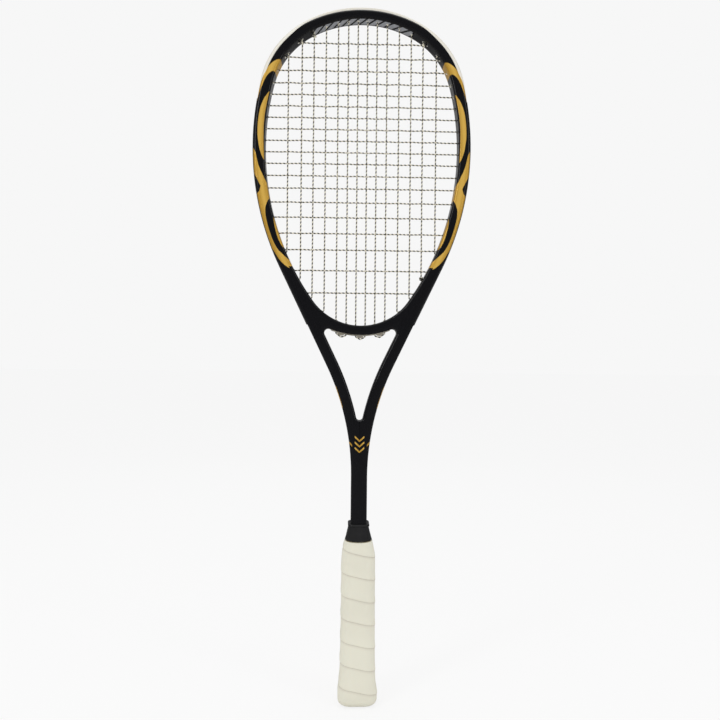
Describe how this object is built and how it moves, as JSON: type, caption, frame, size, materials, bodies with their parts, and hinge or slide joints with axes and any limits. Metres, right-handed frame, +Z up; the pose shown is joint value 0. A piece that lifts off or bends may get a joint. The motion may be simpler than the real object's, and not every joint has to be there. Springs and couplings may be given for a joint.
{
  "type": "squash racket",
  "caption": "Squash racket with a hollow open-throat frame, a woven string bed, clip-in grommets and bumper, and a taped grip with a sliding rubber collar.",
  "frame": {"origin": "middle of the butt cap's base", "axes": "+Z up the handle to the top of the head, hitting faces along -Y and +Y, +X across the head"},
  "size_m": [0.2154, 0.034, 0.686],
  "materials": {
    "lacquered_carbon": "gloss black lacquer over carbon laminate, with gold bands",
    "bumper_nylon": "satin cream nylon",
    "grommet_nylon": "slightly translucent nylon",
    "string": "cream multifilament with a black spiral",
    "plug_foam": "closed-cell foam",
    "pallet_foam": "rigid polyurethane foam",
    "cap_plastic": "moulded polypropylene",
    "staple_steel": "zinc-plated wire",
    "grip": "cream polyurethane tape, matt and slightly tacky",
    "tape": "vinyl tape",
    "collar_rubber": "satin black rubber"
  },
  "bodies": {
    "racket": {"hairpin_tube": "lacquered_carbon", "throat_bridge": "lacquered_carbon", "shaft_sleeve": "lacquered_carbon", "bumper_guard": "bumper_nylon", "side_grommet_strip_left": "grommet_nylon", "side_grommet_strip_right": "grommet_nylon", "bridge_grommet_strip": "grommet_nylon", "main_string": "string", "cross_string": "string", "leg_plug_left": "plug_foam", "leg_plug_right": "plug_foam", "bridge_foam_cores": "plug_foam", "handle_pallet_front": "pallet_foam", "handle_pallet_back": "pallet_foam", "butt_cap": "cap_plastic", "butt_cap_staples": "staple_steel", "grip_wrap": "grip", "finishing_tape": "tape"},
    "grip_collar": {"grip_collar": "collar_rubber"}
  },
  "joints": [
    {"name": "collar_slide", "type": "slide", "parent": "racket", "child": "grip_collar", "axis": [0, 0, 1], "range_m": [0, 0.044]}
  ]
}
